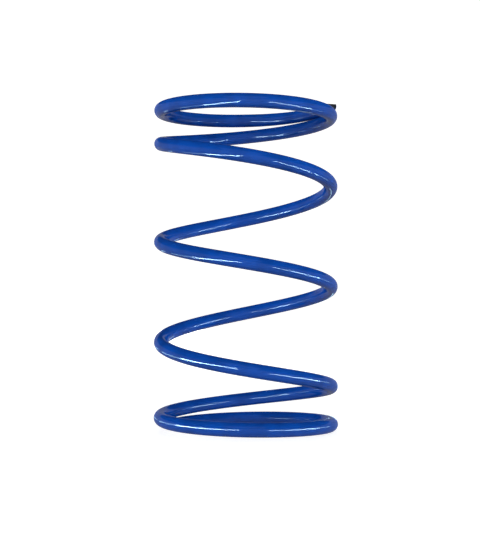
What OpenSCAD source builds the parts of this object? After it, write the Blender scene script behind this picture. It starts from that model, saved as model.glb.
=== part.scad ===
// Compression spring wound from one round wire, left handed, with closed and ground ends.
// It stands on its lower end. Z is the axis of the coil, and Z = 0 is the lower ground face.

/* [Coil] */
// Diameter of the painted wire
wire_d = 4.4; // [3.5:0.05:5.5]
// Diameter of the coil through the middle of the wire
mean_d = 54; // [45:0.5:65]
// Length of the relaxed spring from ground face to ground face
free_length = 105; // [90:0.5:130]
// Turns of wire from tip to tip
turns = 5.42; // [5:0.01:7]
// Angle of the upper tip from the X axis, in degrees
tip_angle = 8; // [-180:1:180]
// Tilt of the open coils, which stand higher on the upper tip's side, in degrees
coil_tilt = 1; // [0:0.1:2]

/* [Ends] */
// Turns at the upper end that are wound closed
upper_closed = 0.74; // [0.6:0.01:1.1]
// Turns at the lower end that are wound closed
lower_closed = 0.65; // [0.6:0.01:1.1]
// Turns over which the pitch opens from closed to full
ramp_turns = 1.06; // [0.6:0.01:1.2]
// Lift that carries each tip over the coil that it closes on
tip_lift = 1.1; // [0:0.05:2]
// Turns over which each tip climbs
climb_turns = 0.3; // [0.15:0.01:0.5]
// Gap between each tip and the coil that it closes on
tip_gap = 0.1; // [0.05:0.01:0.5]
// Thickness of wire left at each tip after grinding
tip_thickness = 2.8; // [1.5:0.1:3.2]
// Length of wire left straight at each tip
tail_l = 6; // [0:0.5:12]
// Chamfer around each cut end
tip_chamfer = 0.3; // [0.1:0.05:0.6]

/* [Fineness] */
// Facets around the wire
wire_facets = 16; // [12:2:24]
// Facets along one turn
turn_facets = 48; // [36:4:60]

/* [Hidden] */
wire_r = wire_d / 2;
mean_r = mean_d / 2;
turn_l = PI * mean_d;

// Depth ground off each tip, and the height of the wire's centre at the upper tip
ground_depth = wire_d - tip_thickness;
upper_tip_z = free_length - wire_r + ground_depth;
// Fall of the wire's centre from the upper tip to the lower one
tip_fall = free_length - wire_d + 2 * ground_depth;

// Share of the extra pitch at x turns from a tip: 0 in the closed turns, 1 past the ramp
function ramp_place(x, closed) = min(max((x - closed) / ramp_turns, 0), 1);
function opening(x, closed) = let (t = ramp_place(x, closed)) t * t * (3 - 2 * t);

// That share summed up over x turns from a tip
function open_turns(x, closed) = let (t = ramp_place(x, closed))
    ramp_turns * (t * t * t - t * t * t * t / 2) + max(x - closed - ramp_turns, 0);

// Distance that a straight tail stands outside the coil, and the coil's radius with its tails
function flare(x) = pow(max(tail_l - turn_l * x, 0), 2) / mean_d;
function coil_r(u) = mean_r + flare(u) + flare(turns - u);

// Height that the tilt gives the wire at u, which is nothing in the closed turns
function tilt_rise(u) = coil_r(u) * tan(coil_tilt) * cos(360 * u)
    * opening(u, upper_closed) * opening(turns - u, lower_closed);

// A closed turn falls by one wire and the gap, less the lift that its tip has of its own
closed_pitch = wire_d + tip_gap - tip_lift;
// Lift of each tip, with what the tilt takes from the gap under it
upper_lift = tip_lift + tilt_rise(1);
lower_lift = tip_lift - tilt_rise(turns - 1);
// Turns that the closed ends and their ramps hold back
slow_turns = upper_closed + lower_closed + ramp_turns;
// A ramp that starts within a tip's first turn gives part of the tip's lift
upper_early = open_turns(1, upper_closed);
lower_early = open_turns(1, lower_closed);
// Pitch that the open coils have beyond a closed turn
extra_pitch = (tip_fall - closed_pitch * turns - upper_lift - lower_lift)
    / (turns - slow_turns - upper_early - lower_early);
// The rest of the lift is a climb of the tip itself
upper_climb = upper_lift - extra_pitch * upper_early;
lower_climb = lower_lift - extra_pitch * lower_early;

// Climb of the wire x turns from its tip
function climb(x, rise) = rise * pow(max(1 - x / climb_turns, 0), 2);

// The wire's centre at u turns down from the upper tip
function wire_angle(u) = tip_angle + 360 * u;
function lower_open_turns(u) = open_turns(turns, lower_closed) - open_turns(turns - u, lower_closed);
function helix_drop(u) = closed_pitch * u
    + extra_pitch * (open_turns(u, upper_closed) + lower_open_turns(u) - u);
function height(u) = upper_tip_z - upper_climb - helix_drop(u) + tilt_rise(u)
    + climb(u, upper_climb) - climb(turns - u, lower_climb);
function centre(u) = [coil_r(u) * cos(wire_angle(u)), coil_r(u) * sin(wire_angle(u)), height(u)];

// Direction of the wire at u, from a small step to either side
small_step = 0.001;
function heading(u) = centre(u + small_step) - centre(u - small_step);

// The ground faces cut off what stands above or below them
function ground(p) = [p.x, p.y, min(max(p.z, 0), free_length)];

// Radius of the wire at u, which is less at the chamfer of a cut end
function section_r(u) = wire_r - max(tip_chamfer - turn_l * min(u, turns - u), 0);

// One ring of points square to the wire at u
function ring(u) =
    let (along = heading(u) / norm(heading(u)),
         across = [along.y, -along.x, 0] / norm([along.x, along.y]),
         upward = cross(across, along))
    [for (j = [0:wire_facets - 1])
        let (b = 360 * j / wire_facets)
        ground(centre(u) + section_r(u) * (cos(b) * across + sin(b) * upward))];

// The middle of a ring, where the triangles of a cut end meet
function middle(points) = [for (p = points) 1] * points / len(points);

// Rings stand at both edges of each chamfer, and evenly between the chamfers
chamfer_turns = tip_chamfer / turn_l;
ring_steps = ceil(turns * turn_facets);
ring_pitch = (turns - 2 * chamfer_turns) / ring_steps;
even_rings = [for (i = [0:ring_steps]) chamfer_turns + i * ring_pitch];
ring_turns = concat([0], even_rings, [turns]);

module coil_spring() {
    rings = [for (u = ring_turns) ring(u)];
    last = len(rings) - 1;
    last_start = last * wire_facets;
    upper_hub = len(rings) * wire_facets;
    lower_hub = upper_hub + 1;
    points = concat([for (r = rings) each r], [middle(rings[0]), middle(rings[last])]);
    wall = [for (i = [0:last - 1], j = [0:wire_facets - 1])
        let (k = (j + 1) % wire_facets,
             a = i * wire_facets + j,
             b = i * wire_facets + k,
             c = a + wire_facets,
             d = b + wire_facets)
        each [[a, b, d], [a, d, c]]];
    cut_ends = [for (j = [0:wire_facets - 1])
        let (k = (j + 1) % wire_facets)
        each [[upper_hub, k, j], [lower_hub, last_start + j, last_start + k]]];
    color("royalblue")
        polyhedron(points, concat(wall, cut_ends));
}

coil_spring();
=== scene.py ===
"""A painted compression spring with closed and ground ends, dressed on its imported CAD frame."""
import math

import bmesh
import bpy
from mathutils import Matrix, Vector


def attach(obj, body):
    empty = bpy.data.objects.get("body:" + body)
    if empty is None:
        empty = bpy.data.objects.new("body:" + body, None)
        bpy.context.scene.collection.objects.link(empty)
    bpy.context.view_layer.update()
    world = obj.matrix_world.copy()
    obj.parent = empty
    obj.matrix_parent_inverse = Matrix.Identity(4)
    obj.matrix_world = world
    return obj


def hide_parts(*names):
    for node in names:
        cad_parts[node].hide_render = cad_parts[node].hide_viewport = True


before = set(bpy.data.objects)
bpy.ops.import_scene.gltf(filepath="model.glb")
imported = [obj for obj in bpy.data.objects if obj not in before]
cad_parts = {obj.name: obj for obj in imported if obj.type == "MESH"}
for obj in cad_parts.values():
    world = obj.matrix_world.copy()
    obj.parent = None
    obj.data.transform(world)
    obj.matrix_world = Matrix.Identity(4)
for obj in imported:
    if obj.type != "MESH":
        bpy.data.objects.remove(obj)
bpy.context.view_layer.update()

MM = 0.001

# Driving sizes of the spring, the same as in its CAD source
WIRE_D = 4.4 * MM
MEAN_D = 54 * MM
FREE_LENGTH = 105 * MM
TURNS = 5.42
TIP_ANGLE = math.radians(8)
COIL_TILT = math.radians(1)
UPPER_CLOSED = 0.74
LOWER_CLOSED = 0.65
RAMP_TURNS = 1.06
TIP_LIFT = 1.1 * MM
CLIMB_TURNS = 0.3
TIP_GAP = 0.1 * MM
TIP_THICKNESS = 2.8 * MM
TAIL_L = 6 * MM
TIP_CHAMFER = 0.3 * MM

# Fineness of the smooth wire
WIRE_SIDES = 56
TURN_RINGS = 144
CHAMFER_STEPS = 3

# Turns to either side that give the wire's heading, and how close points are when they merge
HEADING_STEP = 1e-5
MERGE_DIST = 0.0001 * MM

# Sizes that follow from the driving ones
WIRE_R = WIRE_D / 2
MEAN_R = MEAN_D / 2
TURN_L = math.pi * MEAN_D
GROUND_DEPTH = WIRE_D - TIP_THICKNESS
UPPER_TIP_Z = FREE_LENGTH - WIRE_R + GROUND_DEPTH
TIP_FALL = FREE_LENGTH - WIRE_D + 2 * GROUND_DEPTH
CLOSED_PITCH = WIRE_D + TIP_GAP - TIP_LIFT

# Camera of the photograph: a long lens at mid height, with the image's height on the sensor's long side
PHOTO_H_PX = 533
FOCAL_PX = 1220.73
SENSOR = 36
EYE = Vector((-1.838 * MM, -388.94 * MM, 41.83 * MM))
LOOK_UP = math.radians(1.548)
NEAR_CLIP = 10 * MM

# Order of the finishes on the spring
ENAMEL, GROUND, SHEARED = range(3)


# The wire's path
def ramp_place(x, closed):
    """Place on the ramp from closed to open pitch, 0 to 1, at x turns from a tip."""
    return min(max((x - closed) / RAMP_TURNS, 0), 1)


def opening(x, closed):
    """Share of the extra pitch that the wire has at x turns from a tip."""
    t = ramp_place(x, closed)
    return t * t * (3 - 2 * t)


def open_turns(x, closed):
    """That share summed up over x turns from a tip."""
    t = ramp_place(x, closed)
    return RAMP_TURNS * (t**3 - t**4 / 2) + max(x - closed - RAMP_TURNS, 0)


def climb(x, rise):
    """Height that a tip gains by its own climb, x turns from it."""
    return rise * max(1 - x / CLIMB_TURNS, 0) ** 2


def flare(x):
    """Distance that a straight tail stands outside the coil, x turns from its tip."""
    return max(TAIL_L - TURN_L * x, 0) ** 2 / MEAN_D


def coil_r(u):
    """Radius of the coil, with its tails, at u turns down from the upper tip."""
    return MEAN_R + flare(u) + flare(TURNS - u)


def tilt_rise(u):
    """Height that the tilt of the open coils gives the wire at u."""
    share = opening(u, UPPER_CLOSED) * opening(TURNS - u, LOWER_CLOSED)
    return coil_r(u) * math.tan(COIL_TILT) * math.cos(math.tau * u) * share


UPPER_EARLY = open_turns(1, UPPER_CLOSED)
LOWER_EARLY = open_turns(1, LOWER_CLOSED)
UPPER_LIFT = TIP_LIFT + tilt_rise(1)
LOWER_LIFT = TIP_LIFT - tilt_rise(TURNS - 1)
SLOW_TURNS = UPPER_CLOSED + LOWER_CLOSED + RAMP_TURNS
EXTRA_PITCH = (TIP_FALL - CLOSED_PITCH * TURNS - UPPER_LIFT - LOWER_LIFT) / (
    TURNS - SLOW_TURNS - UPPER_EARLY - LOWER_EARLY
)
UPPER_CLIMB = UPPER_LIFT - EXTRA_PITCH * UPPER_EARLY
LOWER_CLIMB = LOWER_LIFT - EXTRA_PITCH * LOWER_EARLY


def wire_centre(u):
    """Centre of the wire at u turns down from the upper tip."""
    angle = TIP_ANGLE + math.tau * u
    lower_open = open_turns(TURNS, LOWER_CLOSED) - open_turns(TURNS - u, LOWER_CLOSED)
    drop = CLOSED_PITCH * u + EXTRA_PITCH * (open_turns(u, UPPER_CLOSED) + lower_open - u)
    tips = climb(u, UPPER_CLIMB) - climb(TURNS - u, LOWER_CLIMB) - UPPER_CLIMB
    height = UPPER_TIP_Z - drop + tilt_rise(u) + tips
    return Vector((coil_r(u) * math.cos(angle), coil_r(u) * math.sin(angle), height))


def wire_station(u):
    """Place of the wire's section at u: its X points outwards, its Y up, and its Z back along the wire."""
    along = (wire_centre(u + HEADING_STEP) - wire_centre(u - HEADING_STEP)).normalized()
    across = Vector((along.y, -along.x, 0)).normalized()
    upward = across.cross(along)
    turned = Matrix((across, upward, -along)).transposed().to_4x4()
    return Matrix.Translation(wire_centre(u)) @ turned


# Modelling
def finish_mesh(bm, name, materials):
    """Makes a bmesh an object at the origin, with its faces outwards."""
    bmesh.ops.remove_doubles(bm, verts=bm.verts, dist=MERGE_DIST)
    bmesh.ops.recalc_face_normals(bm, faces=bm.faces)
    mesh = bpy.data.meshes.new(name)
    bm.to_mesh(mesh)
    bm.free()
    for material in materials:
        mesh.materials.append(material)
    piece = bpy.data.objects.new(name, mesh)
    bpy.context.scene.collection.objects.link(piece)
    return piece


def extrude_rim(bm, rim):
    """Extrudes the edges of an open rim, and gives the points and edges of the new rim."""
    made = bmesh.ops.extrude_edge_only(bm, edges=rim)["geom"]
    points = [g for g in made if isinstance(g, bmesh.types.BMVert)]
    edges = [g for g in made if isinstance(g, bmesh.types.BMEdge) and set(g.verts) <= set(points)]
    return points, edges


def wind_wire(bm):
    """Draws a round section along the wire's path, from the upper tip to the lower one."""
    ring = bmesh.ops.create_circle(bm, radius=WIRE_R, segments=WIRE_SIDES)["verts"]
    edges = list(bm.edges)
    steps = math.ceil(TURNS * TURN_RINGS)
    last = Matrix.Identity(4)
    for i in range(steps + 1):
        if i > 0:
            ring, edges = extrude_rim(bm, edges)
        here = wire_station(TURNS * i / steps)
        bmesh.ops.transform(bm, matrix=here @ last.inverted(), verts=ring)
        last = here


def shear_ends(bm):
    """Closes the two cut ends of the wire and breaks their edges."""
    rims = [e for e in bm.edges if e.is_boundary]
    for face in bmesh.ops.holes_fill(bm, edges=rims, sides=0)["faces"]:
        face.material_index = SHEARED
    bmesh.ops.bevel(
        bm,
        geom=rims,
        offset=TIP_CHAMFER,
        affect="EDGES",
        segments=CHAMFER_STEPS,
        profile=0.5,
        material=-1,
    )


def grind_end(bm, height, outwards):
    """Grinds one end of the spring flat at a height."""
    cut = bmesh.ops.bisect_plane(
        bm,
        geom=bm.verts[:] + bm.edges[:] + bm.faces[:],
        plane_co=(0, 0, height),
        plane_no=(0, 0, outwards),
        clear_outer=True,
    )["geom_cut"]
    rim = [g for g in cut if isinstance(g, bmesh.types.BMEdge)]
    for face in bmesh.ops.holes_fill(bm, edges=rim, sides=0)["faces"]:
        face.material_index = GROUND


def model_spring(materials):
    """The smooth spring: wound, sheared at both ends and ground flat."""
    bm = bmesh.new()
    wind_wire(bm)
    shear_ends(bm)
    grind_end(bm, FREE_LENGTH, 1)
    grind_end(bm, 0, -1)
    for face in bm.faces:
        face.smooth = face.material_index == ENAMEL
    return finish_mesh(bm, "painted_spring", materials)


# Materials
class Value:
    """An output of a finish's nodes. Operators on it add Math nodes."""

    def __init__(self, finish, socket):
        self.finish = finish
        self.socket = socket

    def math(self, operation, *operands):
        """Adds a Math node with these operands."""
        return self.finish.node("ShaderNodeMath", {"operation": operation}, dict(enumerate(operands)))

    def __add__(self, other):
        return self.math("ADD", self, other)

    def __radd__(self, other):
        return self.math("ADD", other, self)

    def __sub__(self, other):
        return self.math("SUBTRACT", self, other)

    def __rsub__(self, other):
        return self.math("SUBTRACT", other, self)

    def __mul__(self, other):
        return self.math("MULTIPLY", self, other)

    def __rmul__(self, other):
        return self.math("MULTIPLY", other, self)


class Finish:
    """A material whose nodes are all made by one method."""

    def __init__(self, name):
        self.material = bpy.data.materials.new(name)
        self.material.use_nodes = True
        self.tree = self.material.node_tree
        self.tree.nodes.clear()

    def node(self, kind, settings=None, sockets=None, output=0):
        """Adds a node, sets it up, fills its sockets with values or links, and gives one of its outputs."""
        node = self.tree.nodes.new(kind)
        for name, setting in (settings or {}).items():
            setattr(node, name, setting)
        for key, value in (sockets or {}).items():
            if isinstance(value, Value):
                self.tree.links.new(value.socket, node.inputs[key])
            else:
                node.inputs[key].default_value = value
        return Value(self, node.outputs[output]) if node.outputs else None

    def place(self):
        """Object coordinates."""
        return self.node("ShaderNodeTexCoord", output="Object")

    def noise(self, vector, scale, detail):
        """An even noise, 0 to 1."""
        sockets = {"Vector": vector, "Scale": scale, "Detail": detail}
        return self.node("ShaderNodeTexNoise", {}, sockets, "Fac")

    def ramp(self, value, start, end):
        """A smooth rise from 0 at start to 1 at end."""
        settings = {"interpolation_type": "SMOOTHSTEP"}
        sockets = {"Value": value, "From Min": start, "From Max": end}
        return self.node("ShaderNodeMapRange", settings, sockets, "Result")

    def blend(self, factor, a, b):
        """Mixes two colours."""
        return self.node("ShaderNodeMix", {"data_type": "RGBA"}, {0: factor, 6: a, 7: b}, 2)

    def bump(self, height, depth):
        """A normal for a relief of this depth."""
        return self.node("ShaderNodeBump", {}, {"Height": height, "Distance": depth}, "Normal")

    def coated(self, **sockets):
        """Ends the finish in one shader with these sockets."""
        named = {name.replace("_", " "): value for name, value in sockets.items()}
        shader = self.node("ShaderNodeBsdfPrincipled", {}, named)
        self.node("ShaderNodeOutputMaterial", {}, {"Surface": shader})
        return self.material


# Colours of the enamel, and of the sheared steel and its scale
BLUE = (0.003, 0.058, 0.345, 1)
DEEP_BLUE = (0.0025, 0.045, 0.265, 1)
DARK_STEEL = (0.018, 0.020, 0.026, 1)
SCALE = (0.004, 0.005, 0.010, 1)

# The enamel's gloss on the wire and on a ground face, and the steel's shine
GLOSS = 0.15
GLOSS_IOR = 1.8
WIRE_GLOSS_ROUGHNESS = 0.035
GROUND_GLOSS_ROUGHNESS = 0.15
STEEL_SHINE = 0.08

# How far from a ground edge the enamel is thin, how much steel shows there and how much gloss is lost
THIN_EDGE = 0.25 * MM
THIN_BARE = 0.7
THIN_DULL = 0.5

# Scale and relief of the enamel's flow and peel, the grinding lines and the torn steel
FLOW_SCALE = 140
PEEL_SCALE = 900
PEEL_DEPTH = 0.012 * MM
LINE_SCALE = 2600
LINE_DEPTH = 0.02 * MM
TORN_SCALE = 1500
TORN_DEPTH = 0.06 * MM

# Roughness of the wire, the ground faces and the steel, with what their noises add to it
WIRE_ROUGH = 0.3
WIRE_ROUGH_MORE = 0.1
GROUND_ROUGH = 0.32
GROUND_ROUGH_MORE = 0.15
TORN_ROUGH = 0.5
TORN_ROUGH_MORE = 0.3

# Share of the gloss that the wire has everywhere, and what its flow adds
GLOSS_SHARE = 0.85
GLOSS_SHARE_MORE = 0.3

# Levels of those noises between which the colour turns or the enamel thins
FLOW_TURN = (0.35, 0.7)
FLOW_THIN = (0.4, 0.6)
LINE_TURN = (0.3, 0.75)

# Shift that brings the grinding wheel's middle to the origin of its lines
WHEEL_SHIFT = (0.11, 0.05, 0)


def blue_enamel():
    """Gloss enamel that has flowed over the drawn wire, thin along the ground edges."""
    paint = Finish("blue_enamel")
    place = paint.place()
    flow = paint.noise(place, FLOW_SCALE, detail=3)
    peel = paint.noise(place, PEEL_SCALE, detail=1)
    height = paint.node("ShaderNodeSeparateXYZ", {}, {"Vector": place}, "Z")
    to_edge = height.math("MINIMUM", height, FREE_LENGTH - height)
    thin = (1 - paint.ramp(to_edge, 0, THIN_EDGE)) * paint.ramp(flow, *FLOW_THIN)
    colour = paint.blend(paint.ramp(flow, *FLOW_TURN), BLUE, DEEP_BLUE)
    gloss = GLOSS * (GLOSS_SHARE + GLOSS_SHARE_MORE * flow)
    return paint.coated(
        Base_Color=paint.blend(THIN_BARE * thin, colour, DARK_STEEL),
        Roughness=WIRE_ROUGH + WIRE_ROUGH_MORE * flow,
        Specular_IOR_Level=0,
        Coat_Weight=gloss * (1 - THIN_DULL * thin),
        Coat_Roughness=WIRE_GLOSS_ROUGHNESS,
        Coat_IOR=GLOSS_IOR,
        Normal=paint.bump(peel, PEEL_DEPTH),
    )


def ground_enamel():
    """The same enamel over a ground face, with the wheel's lines under it."""
    paint = Finish("ground_enamel")
    wheel = paint.node("ShaderNodeMapping", {}, {"Vector": paint.place(), "Location": WHEEL_SHIFT})
    reach = paint.node("ShaderNodeVectorMath", {"operation": "LENGTH"}, {0: wheel}, "Value")
    sockets = {"W": reach, "Scale": LINE_SCALE, "Detail": 3}
    lines = paint.node("ShaderNodeTexNoise", {"noise_dimensions": "1D"}, sockets, "Fac")
    return paint.coated(
        Base_Color=paint.blend(paint.ramp(lines, *LINE_TURN), BLUE, DEEP_BLUE),
        Roughness=GROUND_ROUGH + GROUND_ROUGH_MORE * lines,
        Specular_IOR_Level=0,
        Coat_Weight=GLOSS,
        Coat_Roughness=GROUND_GLOSS_ROUGHNESS,
        Coat_IOR=GLOSS_IOR,
        Normal=paint.bump(lines, LINE_DEPTH),
    )


def sheared_steel():
    """The dark sheared end of the wire."""
    steel = Finish("sheared_steel")
    torn = steel.noise(steel.place(), TORN_SCALE, detail=4)
    return steel.coated(
        Base_Color=steel.blend(torn, DARK_STEEL, SCALE),
        Roughness=TORN_ROUGH + TORN_ROUGH_MORE * torn,
        Specular_IOR_Level=STEEL_SHINE,
        Normal=steel.bump(torn, TORN_DEPTH),
    )


# Stage: a round floor that bends up into a low wall
COVE_R = 3.0
COVE_WALL = 1.25
COVE_BEND = 0.3
COVE_STEPS = 8
COVE_SIDES = 96
FLOOR_DROP = 0.1 * MM

# The paper's colour and glow: the glow is less near the spring, where the shadow falls, than further out
NEAR_R = 0.1
FAR_R = 0.5
NEAR_GLOW = (0.81, 0.81, 0.81, 1)
WHITE = (1, 1, 1, 1)
PAPER = (0.5, 0.5, 0.5, 1)

# Strips of light on the floor that show only in the gloss: their two ends and radiance
GLOSS_STRIPS = {
    "front_left_strip": ((-0.070, -0.015), (-0.027, -0.200), 150),
    "front_right_strip": ((0.140, 0.010), (0.105, -0.210), 135),
    "back_left_strip": ((-0.125, 0.120), (-0.105, 0.220), 10),
    "back_right_strip": ((0.052, 0.120), (0.027, 0.220), 10),
    "left_side_strip": ((-0.095, 0.060), (-0.070, -0.015), 17),
    "right_side_strip": ((0.155, 0.080), (0.140, 0.010), 17),
}
STRIP_Z = 3 * MM
STRIP_W = 16 * MM
STRIP_COLOUR = (0.5, 0.82, 1)
SPRING_MIDDLE = Vector((0, 0, FREE_LENGTH / 2))

# Low fills all round that light the paint but don't show in its gloss:
# turn about the spring in degrees, and radiance
FILLS = {"front_fill": (0, 8.5), "right_fill": (90, 7), "back_fill": (180, 8), "left_fill": (270, 7)}
FILL_REACH = 1.3
FILL_Z = 0.17
FILL_SIZE = (2.0, 0.3)

# Soft lamps above, in front of the spring and behind it
UPPER_SIZE = (1.0, 0.7)
UPPER_FRONT = (0, -0.9, 0.9)
UPPER_BACK = (0, 0.9, 0.9)
UPPER_FRONT_RADIANCE = 0.8
UPPER_BACK_RADIANCE = 1.4
ROOM_LIGHT = 0.06


def white_paper():
    """Pale paper that is white where it is seen straight or in gloss, and keeps the spring's shadow."""
    paper = Finish("white_paper")
    rays = ("Is Camera Ray", "Is Glossy Ray", "Is Transmission Ray")
    camera, glossy, transmission = [paper.node("ShaderNodeLightPath", output=ray) for ray in rays]
    reach = paper.node("ShaderNodeVectorMath", {"operation": "LENGTH"}, {0: paper.place()}, "Value")
    glow = paper.blend(paper.ramp(reach, NEAR_R, FAR_R), NEAR_GLOW, WHITE)
    matt = paper.node("ShaderNodeBsdfDiffuse", {}, {"Color": PAPER})
    white = paper.node("ShaderNodeEmission", {}, {"Color": glow})
    seen = paper.node("ShaderNodeAddShader", {}, {0: matt, 1: white})
    lit = paper.node("ShaderNodeMixShader", {}, {0: camera + glossy + transmission, 1: matt, 2: seen})
    paper.node("ShaderNodeOutputMaterial", {}, {"Surface": lit})
    return paper.material


def build_cove():
    """A round pale floor that bends up into a low wall."""
    bm = bmesh.new()
    bmesh.ops.create_circle(bm, cap_ends=True, radius=COVE_R, segments=COVE_SIDES)
    bmesh.ops.translate(bm, verts=bm.verts, vec=(0, 0, -FLOOR_DROP))
    rim = [e for e in bm.edges if e.is_boundary]
    bends = [math.radians(90 * (k + 1) / COVE_STEPS) for k in range(COVE_STEPS)]
    profile = [(COVE_R + COVE_BEND * math.sin(a), COVE_BEND * (1 - math.cos(a))) for a in bends]
    radius, height = COVE_R, 0
    for next_radius, next_height in profile + [(COVE_R + COVE_BEND, COVE_WALL)]:
        verts, rim = extrude_rim(bm, rim)
        grow = next_radius / radius
        bmesh.ops.scale(bm, verts=verts, vec=(grow, grow, 1))
        bmesh.ops.translate(bm, verts=verts, vec=(0, 0, next_height - height))
        radius, height = next_radius, next_height
    cove = finish_mesh(bm, "studio_cove", [white_paper()])


def hang_lamp(name, place, size, radiance):
    """A soft rectangular lamp that is turned at the spring and that the camera doesn't see."""
    light = bpy.data.lights.new(name, "AREA")
    light.shape = "RECTANGLE"
    light.size, light.size_y = size
    light.energy = radiance * math.pi * size[0] * size[1]
    lamp = bpy.data.objects.new(name, light)
    lamp.location = place
    lamp.rotation_euler = (SPRING_MIDDLE - Vector(place)).to_track_quat("-Z", "Y").to_euler()
    lamp.visible_camera = False
    bpy.context.scene.collection.objects.link(lamp)
    return lamp


def lay_strip(name, start, end, radiance):
    """A narrow lamp on the floor between two places, turned at the spring and seen only in its gloss."""
    start = Vector((*start, STRIP_Z))
    run = Vector((*end, STRIP_Z)) - start
    along = run.normalized()
    place = start + run / 2
    strip = hang_lamp(name, place, (run.length, STRIP_W), radiance)
    away = place - SPRING_MIDDLE
    away = (away - along * away.dot(along)).normalized()
    strip.rotation_euler = Matrix((along, away.cross(along), away)).transposed().to_euler()
    strip.data.color = STRIP_COLOUR
    strip.visible_diffuse = False


def stand_fill(name, turn, radiance):
    """A broad low lamp at some turn about the spring that isn't seen in its gloss."""
    place = Matrix.Rotation(math.radians(turn), 3, "Z") @ Vector((0, -FILL_REACH, FILL_Z))
    fill = hang_lamp(name, place, FILL_SIZE, radiance)
    fill.visible_glossy = False


def dim_room():
    """An even, weak light from all around."""
    room = bpy.data.worlds.new("dim_room")
    room.use_nodes = True
    light = room.node_tree.nodes["Background"]
    light.inputs["Color"].default_value = WHITE
    light.inputs["Strength"].default_value = ROOM_LIGHT
    return room


def light_stage():
    """Strips for the gloss, low fills all round, two soft lamps above and a dim room."""
    for name, strip in GLOSS_STRIPS.items():
        lay_strip(name, *strip)
    for name, (turn, radiance) in FILLS.items():
        stand_fill(name, turn, radiance)
    hang_lamp("upper_front_softbox", UPPER_FRONT, UPPER_SIZE, UPPER_FRONT_RADIANCE)
    upper_back = hang_lamp("upper_back_softbox", UPPER_BACK, UPPER_SIZE, UPPER_BACK_RADIANCE)
    upper_back.visible_glossy = False
    bpy.context.scene.world = dim_room()


def place_camera():
    """The photograph's viewpoint."""
    lens = bpy.data.cameras.new("photo_camera")
    lens.sensor_width = SENSOR
    lens.lens = FOCAL_PX * SENSOR / PHOTO_H_PX
    lens.clip_start = NEAR_CLIP
    camera = bpy.data.objects.new("photo_camera", lens)
    camera.location = EYE
    camera.rotation_euler = (math.pi / 2 + LOOK_UP, 0, 0)
    bpy.context.scene.collection.objects.link(camera)
    bpy.context.scene.camera = camera


place_camera()
spring = model_spring([blue_enamel(), ground_enamel(), sheared_steel()])
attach(spring, "root")
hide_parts("coil_spring")
build_cove()
light_stage()
bpy.context.scene.view_settings.view_transform = "Standard"
